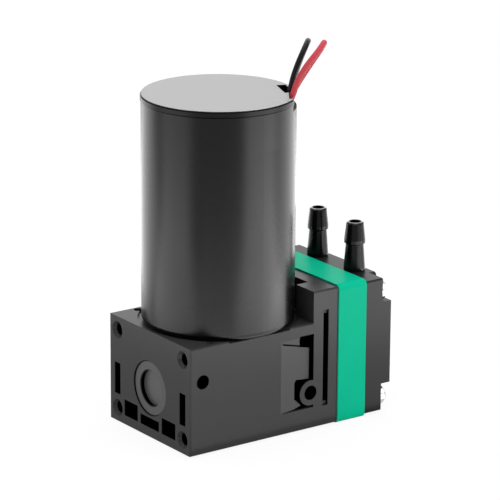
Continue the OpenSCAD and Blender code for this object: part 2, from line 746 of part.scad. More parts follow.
module motor_can() color("#17181a") on_shaft() translate([0, 0, seat_z]) difference() {
    union() {
        difference() {
            rotate_extrude() intersection() {
                can_outline();
                square([can_r, can_len]);
            }
            translate([0, 0, bell_t]) cylinder(r = can_bore_r, h = can_len);
        }
        translate([0, 0, -pilot_h]) cylinder(r = pilot_r, h = pilot_h + bell_hub_h);
    }
    translate([0, 0, front_bearing_z - seat_z - turn_gap])
        cylinder(r = small_bearing[1] + turn_gap, h = bell_hub_h + cut);
    translate([0, 0, -pilot_h - cut]) cylinder(r = shaft_hole_r, h = 2 * pilot_h);
    for (sx = [-1, 1]) translate([sx * motor_screw_x, 0, -cut])
        cylinder(r = motor_thread_r + turn_gap, h = bell_t + 2 * cut);
    // Notch in the rim, where the leads leave under the end cap
    rotate(wire_turn) translate([can_r - 2 * can_wall, -wire_notch_w / 2, can_len - rim_notch_h])
        cube([3 * can_wall, wire_notch_w, rim_notch_h + cut]);
}

module motor_screws() color("#8d9094") on_shaft() for (sx = [-1, 1])
    translate([sx * motor_screw_x, 0, deck_under + motor_head_sink]) difference() {
        union() {
            cylinder(r = motor_thread_r, h = deck_t - motor_head_sink + bell_t - 0.2);
            translate([0, 0, -motor_head_h]) cylinder(r = motor_head_r, h = motor_head_h);
        }
        for (turn = [0, 90]) rotate(turn) translate([-1.2, -0.25, -motor_head_h - cut])
            cube([2.4, 0.5, 1.8]);
    }

// One ring of a ball bearing, with the groove that its balls run in
module race(bearing, r_in, r_out) difference() {
    ring(r_in, r_out, bearing[2]);
    translate([0, 0, bearing[2] / 2]) rotate_extrude()
        translate([ball_ring_r(bearing), 0]) circle(r = bearing[3] + turn_gap);
}
function ball_ring_r(bearing) = (bearing[0] + bearing[1]) / 2;

module inner_race(bearing)
    race(bearing, bearing[0] + turn_gap / 2, bearing[0] + bearing[4]);
module outer_race(bearing)
    race(bearing, bearing[1] - bearing[4], bearing[1] - turn_gap / 2);
module balls(bearing) for (k = [0:bearing[5] - 1]) rotate(360 * k / bearing[5])
    translate([ball_ring_r(bearing), 0, bearing[2] / 2]) sphere(r = bearing[3]);

module front_bearing_outer() color("#c4c7cb") on_shaft()
    translate([0, 0, front_bearing_z]) outer_race(small_bearing);
module front_bearing_inner() color("#c4c7cb") on_shaft()
    translate([0, 0, front_bearing_z]) inner_race(small_bearing);
module front_bearing_balls() color("#e4e6e8") on_shaft()
    translate([0, 0, front_bearing_z]) balls(small_bearing);
module rear_bearing_outer() color("#c4c7cb") on_shaft()
    translate([0, 0, rear_bearing_z]) outer_race(small_bearing);
module rear_bearing_inner() color("#c4c7cb") on_shaft()
    translate([0, 0, rear_bearing_z]) inner_race(small_bearing);
module rear_bearing_balls() color("#e4e6e8") on_shaft()
    translate([0, 0, rear_bearing_z]) balls(small_bearing);

// Spring washer that loads the rear bearing
module wave_washer() color("#a9acb0") on_shaft()
    translate([0, 0, rear_bearing_z + small_bearing[2]])
        ring(small_bearing[1] - 0.9, small_bearing[1] - turn_gap, 0.3);

// Laminated stack with its teeth and pole shoes
module stator_outline() {
    difference() {
        circle(r = can_bore_r - turn_gap);
        circle(r = yoke_r);
    }
    for (k = [0:teeth - 1]) rotate(360 * k / teeth) {
        translate([shoe_r - 0.5, -tooth_w / 2]) square([yoke_r - shoe_r + 1, tooth_w]);
        intersection() {
            difference() {
                circle(r = shoe_r);
                circle(r = stator_bore_r);
            }
            translate([0, -shoe_w / 2]) square([shoe_r, shoe_w]);
        }
    }
}

module stator_core() color("#7d8086") on_shaft()
    translate([0, 0, stack_z]) linear_extrude(stack_len) stator_outline();

module windings() color("#b4622d") on_shaft()
    translate([0, 0, stack_z + stack_len / 2])
        for (k = [0:teeth - 1]) rotate(360 * k / teeth) difference() {
            side_prism(shoe_r + 0.1, coil_r) round_rect(coil_w, coil_h, 1.6);
            translate([0, -tooth_w / 2 - turn_gap, -stack_len / 2 - turn_gap])
                cube([coil_r + cut, tooth_w + 2 * turn_gap, stack_len + 2 * turn_gap]);
        }

// Plate inside the can that holds the rear bearing and carries the board on three posts
module rear_bracket() color("#55585c") on_shaft() difference() {
    union() {
        translate([0, 0, bracket_z])
            cylinder(r = can_bore_r - turn_gap, h = bracket_t);
        translate([0, 0, rear_bearing_z]) cylinder(r = small_bearing[1] + 1.2,
            h = small_bearing[2] + 1);
        for (k = [0:2]) rotate(120 * k + 30) translate([post_at_r, 0, bracket_z])
            cylinder(r = post_r, h = board_z - bracket_z);
    }
    translate([0, 0, rear_bearing_z - cut]) cylinder(r = small_bearing[1] + turn_gap / 2,
        h = small_bearing[2] + 0.3 + cut);
    translate([0, 0, rear_bearing_z]) cylinder(r = shaft_hole_r, h = small_bearing[2] + 3);
    for (k = [0:2]) rotate(120 * k + 90)
        translate([vent_at_r, 0, bracket_z - cut])
            cylinder(r = vent_r, h = bracket_t + 2 * cut);
}

module driver_board() color("#1c5a3a") on_shaft() translate([0, 0, board_z])
    difference() {
        cylinder(r = board_r, h = board_t);
        translate([0, 0, -cut]) cylinder(r = shaft_hole_r, h = board_t + 2 * cut);
    }

// Driver chips, capacitor and the pads that the leads are soldered to
module board_parts() color("#26282b") on_shaft() translate([0, 0, board_z + board_t]) {
    for (k = [0:2]) rotate(120 * k + 180)
        translate([chip_at_r, 0, chip_size[2] / 2]) cube(chip_size, center = true);
    translate(capacitor_at) cylinder(r = capacitor_r, h = capacitor_h);
}

module wire_openings(z0, z1) {
    rotate(wire_turn) translate([wire_notch_in, -wire_notch_w / 2, z0])
        cube([cap_r, wire_notch_w, z1 - z0]);
    rotate(slot_turn) translate([slot_in, -slot_len / 2, z0])
        cube([slot_out - slot_in, slot_len, z1 - z0]);
}

module end_cap() color("#1b1c1e") on_shaft() difference() {
    union() {
        translate([0, 0, can_top]) cylinder(r = cap_r, h = cap_t - cap_disc_t);
        translate([0, 0, can_top - spigot_h])
            cylinder(r = can_bore_r - turn_gap, h = spigot_h);
    }
    translate([0, 0, can_top - spigot_h - cut])
        cylinder(r = can_bore_r - spigot_wall, h = spigot_h + cut);
    wire_openings(can_top - cut, cap_top + cut);
    rotate(wire_turn) translate([0, -wire_notch_w, can_top - spigot_h - cut])
        cube([can_r, 2 * wire_notch_w, spigot_h + cut]);
}

module cap_disc() color("#c9ccd0") on_shaft() difference() {
    translate([0, 0, cap_top - cap_disc_t]) cylinder(r = cap_r - 0.25, h = cap_disc_t);
    wire_openings(cap_top - 1, cap_top + cut);
}

module motor_shaft() color("#d2d4d7") on_shaft() difference() {
    translate([0, 0, shaft_low]) cylinder(r = shaft_r - turn_gap / 2,
        h = rear_bearing_z + small_bearing[2] + 1.2 - shaft_low);
    translate([shaft_r - flat_depth, -shaft_r, shaft_low - cut])
        cube([shaft_r, 2 * shaft_r, hub_top - shaft_low + cut]);
}

module rotor_core() color("#8b8e93") on_shaft()
    translate([0, 0, stack_z - 1])
        ring(shaft_r + turn_gap / 2, rotor_core_r, stack_len + 2);

module rotor_magnet() color("#4c4f54") on_shaft()
    translate([0, 0, stack_z - 1])
        ring(rotor_core_r + turn_gap, magnet_r, stack_len + 2);

// Hub on the shaft with a counterweight, and the crank pin below it
module eccentric() color("#c9a24b") in_case() difference() {
    union() {
        translate([0, motor_y, hub_low]) cylinder(r = hub_r, h = hub_top - hub_low);
        intersection() {
            translate([0, motor_y, hub_low]) cylinder(r = weight_r, h = weight_t);
            translate([-weight_r, motor_y, hub_low]) cube([2 * weight_r, weight_r, weight_t]);
        }
        translate([0, crank_y, bearing_high]) cylinder(r = pin_r + 0.7, h = step_h);
        translate([0, crank_y, pin_low])
            cylinder(r = pin_r - turn_gap / 2, h = hub_low - pin_low);
    }
    translate([0, motor_y, shaft_low]) cylinder(r = shaft_r, h = hub_top);
    translate([0, motor_y, set_screw_z]) rotate([0, 90, 0])
        cylinder(r = set_screw_r + turn_gap, h = hub_r + cut);
    translate([0, crank_y, pin_low - cut])
        cylinder(r = pin_screw_r + turn_gap, h = pin_screw_len + cut);
}

module set_screw() color("#3c3e42") on_shaft() translate([0, 0, set_screw_z])
    rotate([0, 90, 0]) translate([0, 0, shaft_r - flat_depth]) difference() {
        cylinder(r = set_screw_r, h = hub_r - shaft_r);
        translate([0, 0, hub_r - shaft_r - set_socket])
            cylinder(r = set_socket / 2, h = set_socket + cut, $fn = 6);
    }

module crank_bearing_inner() color("#c4c7cb") on_pin()
    translate([0, 0, bearing_low]) inner_race(crank_bearing);
module crank_bearing_outer() color("#c4c7cb") on_pin()
    translate([0, 0, bearing_low]) outer_race(crank_bearing);
module crank_bearing_balls() color("#e4e6e8") on_pin()
    translate([0, 0, bearing_low]) balls(crank_bearing);

module pin_washer() color("#a9acb0") on_pin()
    translate([0, 0, bearing_low - pin_washer_t])
        ring(pin_screw_r + slip_gap, pin_washer_r, pin_washer_t);

module pin_screw() color("#8d9094") on_pin()
    translate([0, 0, bearing_low - pin_washer_t]) difference() {
        union() {
            cylinder(r = pin_screw_r, h = pin_washer_t + pin_screw_len - 0.5);
            translate([0, 0, -1.3]) cylinder(r = 1.8, h = 1.3);
        }
        for (turn = [0, 90]) rotate(turn) translate([-0.9, -0.2, -2])
            cube([1.8, 0.4, 1.4]);
    }

// Ring round the crank bearing, a ribbed bar, and the hub that clamps the diaphragm
module connecting_rod() color("#d9dbd6") in_case() difference() {
    union() {
        translate([0, crank_y, bearing_low]) cylinder(r = rod_ring_r, h = crank_bearing[2]);
        linear_extrude_at(bearing_low, crank_bearing[2]) polygon([
            [-rod_bar_w / 2 - 1.5, crank_y], [rod_bar_w / 2 + 1.5, crank_y],
            [rod_bar_w / 2, rod_end - rod_hub_len / 2],
            [-rod_bar_w / 2, rod_end - rod_hub_len / 2]]);
        bar_y(rod_hub_r, rod_end - rod_hub_len, rod_end, head_mid);
    }
    translate([0, crank_y, bearing_low - cut])
        cylinder(r = crank_bearing[1] + turn_gap / 2, h = crank_bearing[2] + 2 * cut);
    for (z = [bearing_low - cut, bearing_high - rod_pocket])
        linear_extrude_at(z, rod_pocket + cut) polygon([
            [-rod_bar_w / 2 + 0.2, crank_y + rod_ring_r + 0.6],
            [rod_bar_w / 2 - 0.2, crank_y + rod_ring_r + 0.6],
            [rod_bar_w / 2 - 0.6, rod_end - clamp_screw_len - 0.8],
            [0.6 - rod_bar_w / 2, rod_end - clamp_screw_len - 0.8]]);
    bar_y(clamp_screw_r + turn_gap, rod_end - clamp_screw_len, rod_end + cut, head_mid);
}

module linear_extrude_at(z, h) translate([0, 0, z]) linear_extrude(h) children();

module diaphragm_support() color("#b4b7bb") in_case() difference() {
    bar_y(support_r, rod_end, rod_end + support_t, head_mid);
    bar_y(clamp_screw_r + slip_gap, rod_end - cut, rod_end + support_t + cut, head_mid);
}

module clamp_disc() color("#b4b7bb") in_case() {
    clamp_y = rod_end + support_t + diaphragm_t;
    difference() {
        bar_y(clamp_r, clamp_y, clamp_y + clamp_t, head_mid);
        bar_y(clamp_screw_r + slip_gap, clamp_y - cut, clamp_y + clamp_t + cut, head_mid);
        cone_y(clamp_head_r - clamp_t + turn_gap, clamp_head_r + turn_gap, clamp_y,
            clamp_y + clamp_t, head_mid);
    }
}

// Flush screw that clamps the diaphragm between its two discs
module clamp_screw() color("#8d9094") in_case() {
    clamp_y = rod_end + support_t + diaphragm_t;
    difference() {
        union() {
            bar_y(clamp_screw_r, rod_end - clamp_screw_len + 1, clamp_y + clamp_t / 2,
                head_mid);
            cone_y(clamp_head_r - clamp_t, clamp_head_r, clamp_y, clamp_y + clamp_t,
                head_mid);
        }
        for (turn = [0, 90]) translate([0, clamp_y + 0.2, head_mid]) rotate([0, turn, 0])
            translate([-1.5, 0, -0.3]) cube([3, 2, 0.6]);
    }
}

// A lead as one closed tube along its route, with flat ends
module tube(route, r) {
    line = curve(route);
    sides = sides_along(line);
    rings = [for (i = [0:len(line) - 1]) ring_of(line[i], heading(line, i), sides[i], r)];
    n = lead_sides;
    last = len(line) - 1;
    polyhedron(
        points = [for (one = rings) for (p = one) p],
        faces = concat(
            [[for (k = [0:n - 1]) k]],
            [for (i = [0:last - 1], k = [0:n - 1])
                each [
                    [i * n + k, (i + 1) * n + k, (i + 1) * n + (k + 1) % n],
                    [i * n + k, (i + 1) * n + (k + 1) % n, i * n + (k + 1) % n]]],
            [[for (k = [n - 1:-1:0]) last * n + k]]));
}

// The tinned end of a lead, straight on from its last point
module bare_end(route) {
    last = len(route) - 1;
    line = curve(route);
    ahead = heading(line, len(line) - 1);
    translate(route[last])
        rotate([0, acos(ahead[2]), atan2(ahead[1], ahead[0])])
            cylinder(r = bare_r, h = bare_len);
}

module black_lead() color("#202124") tube(black_route, lead_d / 2);
module red_lead() color("#c8323a") tube(red_route, lead_d / 2);
module black_lead_end() color("#c9ccd0") bare_end(black_route);
module red_lead_end() color("#c9ccd0") bare_end(red_route);

crankcase();
front_plug();
nut_strips();
chamber_plate();
pump_head();
head_seals();
head_screws();
diaphragm();
inlet_valve();
outlet_valve();
motor_can();
motor_screws();
front_bearing_outer();
front_bearing_balls();
front_bearing_inner();
stator_core();
windings();
rear_bracket();
rear_bearing_outer();
rear_bearing_balls();
rear_bearing_inner();
wave_washer();
driver_board();
board_parts();
end_cap();
cap_disc();
motor_shaft();
rotor_core();
rotor_magnet();
eccentric();
set_screw();
crank_bearing_inner();
crank_bearing_balls();
crank_bearing_outer();
pin_washer();
pin_screw();
connecting_rod();
diaphragm_support();
clamp_disc();
clamp_screw();
black_lead();
red_lead();
black_lead_end();
red_lead_end();
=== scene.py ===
# %% [markdown]
# A micro diaphragm pump, dressed and lit for a product picture.
# The pump is already modelled as a set of solids, one for each piece that comes apart on a
# bench. This lesson gives every piece its finish, replaces the two coarse lead tubes by smooth
# ones, and sets up the camera and a small white studio.
# Lengths are in metres, +Z is up, the front plug faces -Y and the pump head faces +Y.

# %% Load the solids
import json
import math

import bpy
import numpy as np
from mathutils import Matrix, Vector


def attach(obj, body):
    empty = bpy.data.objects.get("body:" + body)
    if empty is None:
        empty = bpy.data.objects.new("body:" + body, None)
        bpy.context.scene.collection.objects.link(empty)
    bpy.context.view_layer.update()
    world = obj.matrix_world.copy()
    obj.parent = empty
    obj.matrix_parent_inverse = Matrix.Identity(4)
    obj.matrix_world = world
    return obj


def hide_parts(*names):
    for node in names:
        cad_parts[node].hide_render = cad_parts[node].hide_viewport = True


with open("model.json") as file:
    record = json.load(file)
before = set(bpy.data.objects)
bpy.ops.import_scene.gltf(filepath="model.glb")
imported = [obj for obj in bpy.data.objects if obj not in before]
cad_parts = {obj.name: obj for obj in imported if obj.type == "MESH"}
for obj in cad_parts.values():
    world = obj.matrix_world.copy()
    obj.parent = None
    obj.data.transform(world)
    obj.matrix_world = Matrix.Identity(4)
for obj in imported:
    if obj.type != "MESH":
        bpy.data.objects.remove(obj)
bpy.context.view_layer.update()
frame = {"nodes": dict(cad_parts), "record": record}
nodes = frame["nodes"]
print("pieces in the solid model:", len(nodes))

MM = 0.001

# %% [markdown]
# The camera stands where the photographer's stood. A long lens keeps the upright edges of the
# motor almost parallel. The place, the direction and the small roll come from matching the
# corners of the crankcase, the plate and the can with their places in the picture.

# %% Camera
EYE = Vector((0.52738, -0.37963, 0.23438))
LOOK = Vector((-0.7768, 0.5587, -0.2906)).normalized()
ROLL = math.radians(0.38)
LENS_MM = 230.2
SENSOR_MM = 36
NEAREST_SEEN = 0.01


def add_camera():
    level = LOOK.cross(Vector((0, 0, 1))).normalized()
    upright = level.cross(LOOK)
    right = math.cos(ROLL) * level + math.sin(ROLL) * upright
    up = right.cross(LOOK)
    camera = bpy.data.objects.new("camera", bpy.data.cameras.new("camera"))
    camera.data.lens = LENS_MM
    camera.data.sensor_width = SENSOR_MM
    camera.data.clip_start = NEAREST_SEEN
    turn = Matrix((right, up, -LOOK)).transposed().to_4x4()
    camera.matrix_world = Matrix.Translation(EYE) @ turn
    bpy.context.scene.collection.objects.link(camera)
    bpy.context.scene.camera = camera
    print("camera distance to the motor axis: %.3f m" % EYE.xy.length)


add_camera()

# %% [markdown]
# Shader maths reads best as plain Python. A Value wraps one output of a node. Adding,
# multiplying or comparing two of them adds the Math node that does it, so a rule can be written
# as one expression instead of a web of nodes.

# %% Values that can be added and compared


class Value:
    """An output of a node, with the operators that the finishes use."""

    def __init__(self, graph, socket):
        self.graph = graph
        self.socket = socket

    def maths(self, operation, *others):
        return self.graph.node("ShaderNodeMath", {"operation": operation}, [self, *others])

    def __add__(self, other):
        return self.maths("ADD", other)

    def __mul__(self, other):
        return self.maths("MULTIPLY", other)

    def __sub__(self, other):
        return self.maths("SUBTRACT", other)

    def __rsub__(self, other):
        return self.graph.node("ShaderNodeMath", {"operation": "SUBTRACT"}, [other, self])

    def __gt__(self, other):
        return self.maths("GREATER_THAN", other)

    def __lt__(self, other):
        return self.maths("LESS_THAN", other)

    def __abs__(self):
        return self.maths("ABSOLUTE")

    __radd__ = __add__
    __rmul__ = __mul__

    def between(self, low, high):
        """1 where the value lies between two others, otherwise 0."""
        return (self > low) * (self < high)

    def clamped(self):
        return self.graph.node("ShaderNodeClamp", {}, [self])


# %% [markdown]
# Every node comes from one method of a Graph. It takes the kind of node, its settings and what
# its sockets get, a plain number or a Value, and hands back one output as a Value. The
# materials and the world share it.

# %% Adding a node


class Graph:
    """The nodes of a material or of the world."""

    def __init__(self, tree):
        self.tree = tree

    def feed(self, target, value):
        if isinstance(value, Value):
            self.tree.links.new(value.socket, target)
        else:
            target.default_value = value

    def node(self, kind, settings, inputs, output=0):
        """Adds a node: first its settings, then its inputs, by place or by name."""
        made = self.tree.nodes.new(kind)
        for name, value in settings.items():
            setattr(made, name, value)
        pairs = inputs.items() if isinstance(inputs, dict) else enumerate(inputs)
        for key, value in pairs:
            self.feed(made.inputs[key], value)
        return Value(self, made.outputs[output])


# %% [markdown]
# A Finish is the graph of one material. Its patterns read where a point lies on its own object,
# so they stay in place when a piece moves. The methods are the few things that a finish on this
# pump does: give a place another colour, blacken a hollow, let the gloss drift and raise a fine
# grain.

# %% One finish
BLACK = (0, 0, 0)


class Finish(Graph):
    """One material with a Principled shader. Plain numbers go straight to its sockets."""

    def __init__(self, name, colour, roughness, **more):
        self.material = bpy.data.materials.new(name)
        self.material.use_nodes = True
        self.material.diffuse_color = (*colour, 1)
        super().__init__(self.material.node_tree)
        self.shader = self.tree.nodes["Principled BSDF"]
        self.colour = colour
        self.roughness = roughness
        self.put("Base Color", (*colour, 1))
        self.put("Roughness", roughness)
        for socket, value in more.items():
            self.put(socket.replace("_", " "), value)

    def put(self, socket, value):
        self.feed(self.shader.inputs[socket], value)

    def place(self):
        """Where a point lies on the object, in metres."""
        return self.node("ShaderNodeTexCoord", {}, {}, "Object")

    def along(self, axis):
        """How far along an axis a point lies on the object, in metres."""
        return self.node("ShaderNodeSeparateXYZ", {}, [self.place()], axis)

    def off_axis(self, plane, centre):
        """How far a point lies from a centre, in metres, measured only along the axes for which
        plane is 1."""
        flat = self.node("ShaderNodeVectorMath", {"operation": "MULTIPLY"}, [
            self.place(), plane])
        return self.node("ShaderNodeVectorMath", {"operation": "DISTANCE"}, [
            flat, centre], "Value")

    def noise(self, grain, detail=2, roughness=0.5):
        """A cloudy value from 0 to 1, whose blotches are about grain metres across."""
        return self.node("ShaderNodeTexNoise", {}, {
            "Vector": self.place(), "Scale": 1 / grain, "Detail": detail,
            "Roughness": roughness}, "Fac")

    def tint(self, mask, colour):
        """Lets the colour go over to another one as the mask goes from 0 to 1."""
        low, high = (c if isinstance(c, Value) else (*c, 1) for c in (self.colour, colour))
        self.colour = self.node("ShaderNodeMix", {"data_type": "RGBA"}, {
            0: mask, 6: low, 7: high}, 2)
        self.put("Base Color", self.colour)

    def blacken(self, mask):
        """Where the mask is 1 the finish is a black metal, which mirrors almost nothing."""
        self.tint(mask, BLACK)
        self.put("Metallic", mask)

    def drift(self, noise, amount):
        """Lets the roughness drift with a noise, by half the amount to each side."""
        self.put("Roughness", noise * amount + (self.roughness - amount / 2))

    def bump(self, height, depth):
        """Lets a value from 0 to 1 raise the surface by depth metres at most."""
        self.put("Normal", self.node("ShaderNodeBump", {}, {
            "Strength": 1.0, "Distance": depth, "Height": height}))


# %% [markdown]
# In each side of the crankcase a shallow ramp runs inwards towards the head, with a ring boss
# on it and a shelf above it. Ramp and shelf catch more light than the side face, and that light
# is painted into their colour: they are painted paler.
# Their faces could be picked one by one, but a rule in coordinates needs no list of faces. Such
# a rule is a mask: 1 where it holds, otherwise 0.

# %% Painted light on the ramps in the sides of the crankcase
RAMP_START = -3 * MM
RAMP_END = 5.55 * MM
RAMP_DEPTH = 0.9 * MM
RAMP_LOW = 5 * MM
SHELF_TOP = 21.4 * MM
SKIN = 0.15 * MM
HAIR = 0.01 * MM


def spans(node):
    """The lowest, middle and highest X, Y and Z of a solid, in its own coordinates."""
    corners = np.array(nodes[node].bound_box)
    low, high = corners.min(axis=0), corners.max(axis=0)
    return low.tolist(), ((low + high) / 2).tolist(), high.tolist()


def case_place(finish):
    """How far a point of the crankcase lies from the middle plane, along Y and upwards."""
    return abs(finish.along("X")), finish.along("Y"), finish.along("Z")


def ramp_depth(y):
    """How deep a ramp lies below the side face: its slope times the way from its start, and 0
    before its start and behind its end."""
    slope = RAMP_DEPTH / (RAMP_END - RAMP_START)
    return slope * ((y - RAMP_START).maths("MAXIMUM", 0) * (y < RAMP_END - SKIN))


def ramp_painted_light(finish):
    """The mask of the painted light on the ramps. A point counts when it lies at least half as
    deep as the ramp does there. The ring bosses stand on the ramp, so they don't count."""
    across, y, z = case_place(finish)
    half_width = spans("crankcase")[2][0]
    return (y.between(RAMP_START, RAMP_END - SKIN) * z.between(RAMP_LOW, SHELF_TOP)
            * (half_width - across > 0.5 * ramp_depth(y) - HAIR))


print("ramps: %.2f mm long, %.1f mm deep" % ((RAMP_END - RAMP_START) / MM, RAMP_DEPTH / MM))

# %% [markdown]
# Hardly any light gets into the holes, slots and pockets of the crankcase, so their walls look
# black. In a bright studio modelled walls stay a little too light, because the white surround
# shows in them, so a mask blackens them. It finds them all at once: a point lies in a hollow
# when it is below the skin of every outer face.

# %% Painted shade in the hollows of the crankcase
FLOOR_SKIN = 0.7 * MM         # the skin below the deck and above the underside
DECK_HEIGHT = 23.8 * MM
CORNERS_ACROSS = 10 * MM      # the corner holes lie farther out than this
CORNERS_MIDDLE = 12 * MM      # the height midway between them
CORNERS_UP = 6.6 * MM         # and they lie farther from it than this
COUNTERSINK = 0.6 * MM
EAR_FRONT = 5.4 * MM
EAR_INSIDE = 9 * MM
BOSS_CENTRE = (0, 4.8 * MM, 8.35 * MM)
BOSS_RADIUS = 2.85 * MM


def case_hollow_shade(finish):
    """The product of three masks: below the side faces, behind the front face, and between the
    underside and the deck. The ramps move the side face inwards, but not at the ring bosses,
    the countersinks move the front face back, and the ears reach above the deck."""
    low, _, high = spans("crankcase")
    across, y, z = case_place(finish)
    corner_hole = (across > CORNERS_ACROSS) * (abs(z - CORNERS_MIDDLE) > CORNERS_UP)
    ear = (y > EAR_FRONT + SKIN) * (across > EAR_INSIDE + SKIN)
    boss = finish.off_axis((0, 1, 1), BOSS_CENTRE) < BOSS_RADIUS
    below_side = high[0] - across > ramp_depth(y) * (1 - boss) + SKIN
    behind_front = y > COUNTERSINK * corner_hole + (low[1] + SKIN)
    ceiling = (high[2] - DECK_HEIGHT) * ear + (DECK_HEIGHT - FLOOR_SKIN)
    return below_side * behind_front * z.between(low[2] + FLOOR_SKIN, ceiling)


case_low, _, case_high = spans("crankcase")
print("crankcase: %s mm" % " x ".join(
    "%.1f" % ((high - low) / MM) for low, high in zip(case_low, case_high)))

# %% [markdown]
# The front plug is a round disc with a shallow dish. A fine black joint runs round it. The wall
# of the dish gets painted shade, black, and its floor a painted sheen, a paler colour. All
# three are rings about the plug's axis, so one radius describes them.

# %% Joint line, painted shade and painted sheen of the plug
EDGE_LINE = 0.12 * MM
DISH_RADIUS = 3.89 * MM
DISH_WALL = 0.12 * MM


def plug_radius(finish):
    """How far a point of the plug lies from the plug's axis, in metres."""
    return finish.off_axis((1, 0, 1), (0, 0, spans("front_plug")[1][2]))


def plug_joint_and_dish_shade(finish):
    """The joint at the edge of the plug, and the wall of its dish, which gets painted shade."""
    radius = plug_radius(finish)
    edge = radius > spans("front_plug")[2][0] - EDGE_LINE
    return edge + radius.between(DISH_RADIUS, DISH_RADIUS + DISH_WALL)


# Painted sheen: the floor of the dish is painted paler.
def plug_dish_sheen(finish):
    return plug_radius(finish) < DISH_RADIUS


print("plug radius: %.2f mm" % (spans("front_plug")[2][0] / MM))

# %% [markdown]
# The crankcase is moulded from glass-filled nylon. Such a part is never quite even: the fibres
# give the skin a fine grain, and its gloss drifts a little from place to place. A scanned
# picture of plastic would do, but two noises need no picture and have no seams. The fine one is
# the grain, the broad one the drift, and both together make the colour a little uneven.

# %% Moulded plastic
FINE_GRAIN = 0.25 * MM
CLOUDS = 6 * MM
LIGHTER = 1.18
DARKER = 0.88
GLOSS_DRIFT = 0.08


def shaded(colour, factor):
    return [c * factor for c in colour]


def moulded(name, colour, roughness, gloss=0.25, grain=FINE_GRAIN, depth=0.012 * MM,
            painted_light=None, light_gain=1.0, shade_and_joints=None):
    """The colour is brighter by the given gain where the mask of painted light is 1, and black
    where the mask of painted shade and dark joints is 1."""
    finish = Finish(name, colour, roughness, Specular_IOR_Level=gloss)
    cloud = finish.noise(CLOUDS)
    fine = finish.noise(grain, detail=3, roughness=0.6)
    finish.colour = shaded(colour, DARKER)
    finish.tint(0.6 * fine + 0.4 * cloud, shaded(colour, LIGHTER))
    # Painted light: a paler colour where the first mask is 1.
    if painted_light:
        finish.tint(painted_light(finish), shaded(colour, light_gain))
    # Painted shade, and dark joints: black where the second mask is 1.
    if shade_and_joints:
        finish.blacken(shade_and_joints(finish))
    finish.drift(cloud, GLOSS_DRIFT)
    finish.bump(fine, depth)
    return finish.material


# %% [markdown]
# The head is a blacker moulding, and its two hose barbs are polished in the mould, so that a
# hose slips on: they are glossier. Their darker colour is painted shade. Head and barbs are one
# piece, so a mask on the height parts them. The rims of the barbs' mouths shine most and get a
# clear coat.

# %% Pump head with its barbs
HEAD_BLACK = (0.013, 0.013, 0.0131)
HEAD_ROUGHNESS = 0.36
BARB_SHADE_BLACK = (0.003, 0.003, 0.003)
BARB_ROUGHNESS = 0.2
BARB_LENGTH = 10.8 * MM
MOUTH_RIM = 0.15 * MM


def above(finish, node, drop):
    """1 above a level that lies drop metres below the highest point of a solid."""
    return finish.along("Z") > spans(node)[2][2] - drop


def head_moulding():
    finish = Finish("head plastic", HEAD_BLACK, HEAD_ROUGHNESS, Specular_IOR_Level=0.12)
    barb = above(finish, "pump_head", BARB_LENGTH)
    # Painted shade: the barbs get a darker colour than the head.
    finish.tint(barb, BARB_SHADE_BLACK)
    finish.put("Roughness", barb * (BARB_ROUGHNESS - HEAD_ROUGHNESS) + HEAD_ROUGHNESS)
    finish.put("Coat Weight", above(finish, "pump_head", MOUTH_RIM))
    finish.bump(finish.noise(FINE_GRAIN, detail=3, roughness=0.6), 0.008 * MM)
    return finish.material


moulded_finishes = {
    # case plastic: painted light makes the ramps 1.75 times as bright, and painted shade
    # blackens the hollows.
    "case_plastic": moulded("case plastic", (0.032, 0.032, 0.0323), 0.31, 0.115,
                            painted_light=ramp_painted_light, light_gain=1.75, shade_and_joints=case_hollow_shade),
    # plug plastic: painted sheen makes the dish floor 1.4 times as bright, and painted shade
    # blackens the dish wall beside the dark joint at the edge.
    "plug_plastic": moulded("plug plastic", (0.052, 0.052, 0.0523), 0.32, 0.3,
                            depth=0.006 * MM, painted_light=plug_dish_sheen, light_gain=1.4, shade_and_joints=plug_joint_and_dish_shade),
    "head_plastic": head_moulding(),
    "green_plastic": moulded("green plastic", (0.002, 0.49, 0.285), 0.4, 0.02,
                             depth=0.006 * MM),
    "grey_plastic": moulded("bracket plastic", (0.09, 0.09, 0.095), 0.5),
    "rod_plastic": moulded("rod plastic", (0.7, 0.7, 0.66), 0.45),
    "chip": moulded("chip plastic", (0.03, 0.03, 0.03), 0.5)}
print("moulded finishes:", len(moulded_finishes))

# %% [markdown]
# The can is deep-drawn steel with a smooth black coat. It is dark by itself, and nearly all
# that the eye sees on it is the studio, drawn out into upright bands by its round form, so the
# coat needs hardly any pattern. The end cap has the same black, and a fine black line where it
# stands on the can.

# %% Black coat of the can and the cap
COAT_BLACK = (0.002, 0.002, 0.0021)
CAP_BAND = 1.05 * MM
JOINT_LINE = 0.15 * MM


def painted_can():
    finish = Finish("can paint", COAT_BLACK, 0.275, Specular_IOR_Level=0.175)
    finish.drift(finish.noise(9 * MM), 0.05)
    return finish.material


def cap_coat():
    finish = Finish("cap coat", COAT_BLACK, 0.3, Specular_IOR_Level=0.14)
    finish.blacken(1 - above(finish, "end_cap", CAP_BAND - JOINT_LINE))
    return finish.material


# %% [markdown]
# The disc on the cap is sandblasted aluminium: pale, even and almost without a reflection of
# its own. A noise finer than the eye can part keeps it from looking like paint. Its edge, just
# below the face, is blackened. The other metals are bare or plated and take one short recipe.

# %% Disc and bare metals
DISC_GREY = (0.268, 0.268, 0.271)
DISC_EDGE = 0.05 * MM
METAL_DRIFT = 0.06


def satin_disc():
    finish = Finish("cap metal", DISC_GREY, 0.45, Metallic=0.7)
    haze = finish.noise(0.3 * MM, detail=3)
    finish.tint(1 - above(finish, "cap_disc", DISC_EDGE), BLACK)
    finish.drift(haze, METAL_DRIFT)
    finish.bump(haze, 0.004 * MM)
    return finish.material


def metal(name, colour, roughness):
    finish = Finish(name, colour, roughness, Metallic=1.0)
    finish.drift(finish.noise(1.5 * MM, detail=3), METAL_DRIFT)
    return finish.material


